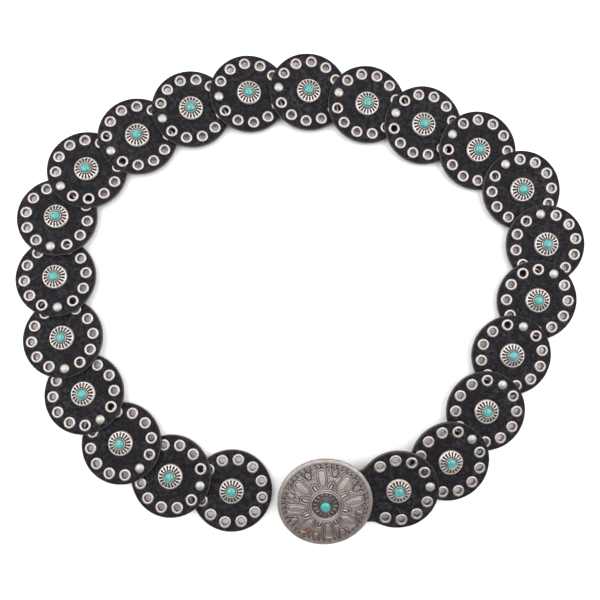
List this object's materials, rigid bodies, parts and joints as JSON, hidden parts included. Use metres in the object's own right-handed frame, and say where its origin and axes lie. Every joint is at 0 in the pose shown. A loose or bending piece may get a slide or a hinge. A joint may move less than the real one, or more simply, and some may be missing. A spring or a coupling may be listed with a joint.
{
  "type": "western belt",
  "caption": "Western belt of overlapping round leather discs, each riveted to the next and ringed with eyelets, with turquoise-set conchos and a domed oval buckle.",
  "frame": {"origin": "middle of the belt's outline, on the surface that it lies on", "axes": "+Z out of the belt's face, +X to the right and +Y away from the buckle as the belt lies; the buckle end is at -Y"},
  "size_m": [0.3658, 0.3142, 0.0192],
  "materials": {
    "black_leather": "black pebbled leather, satin, worn paler at the cut edges",
    "antique_silver": "antiqued silver plate, dark in the recesses and bright on the relief",
    "concho_silver": "antiqued silver, dark between the rays",
    "nickel": "nickel plate, slightly tarnished",
    "turquoise": "polished turquoise with faint dark veins"
  },
  "bodies": {
    "root": {"disc_01": "black_leather", "disc_02": "black_leather", "disc_03": "black_leather", "disc_04": "black_leather", "disc_05": "black_leather", "disc_06": "black_leather", "disc_07": "black_leather", "disc_08": "black_leather", "disc_09": "black_leather", "disc_10": "black_leather", "disc_11": "black_leather", "disc_12": "black_leather", "disc_13": "black_leather", "disc_14": "black_leather", "disc_15": "black_leather", "disc_16": "black_leather", "disc_17": "black_leather", "disc_18": "black_leather", "disc_19": "black_leather", "disc_20": "black_leather", "disc_21": "black_leather", "disc_22": "black_leather", "concho_01": "concho_silver", "concho_02": "concho_silver", "concho_03": "concho_silver", "concho_04": "concho_silver", "concho_05": "concho_silver", "concho_06": "concho_silver", "concho_07": "concho_silver", "concho_08": "concho_silver", "concho_09": "concho_silver", "concho_10": "concho_silver", "concho_11": "concho_silver", "concho_12": "concho_silver", "concho_13": "concho_silver", "concho_14": "concho_silver", "concho_15": "concho_silver", "concho_16": "concho_silver", "concho_17": "concho_silver", "concho_18": "concho_silver", "concho_19": "concho_silver", "concho_20": "concho_silver", "concho_21": "concho_silver", "concho_22": "concho_silver", "buckle": "antique_silver", "buckle_stone": "turquoise", "tab_rivet": "nickel"}
  },
  "joints": []
}
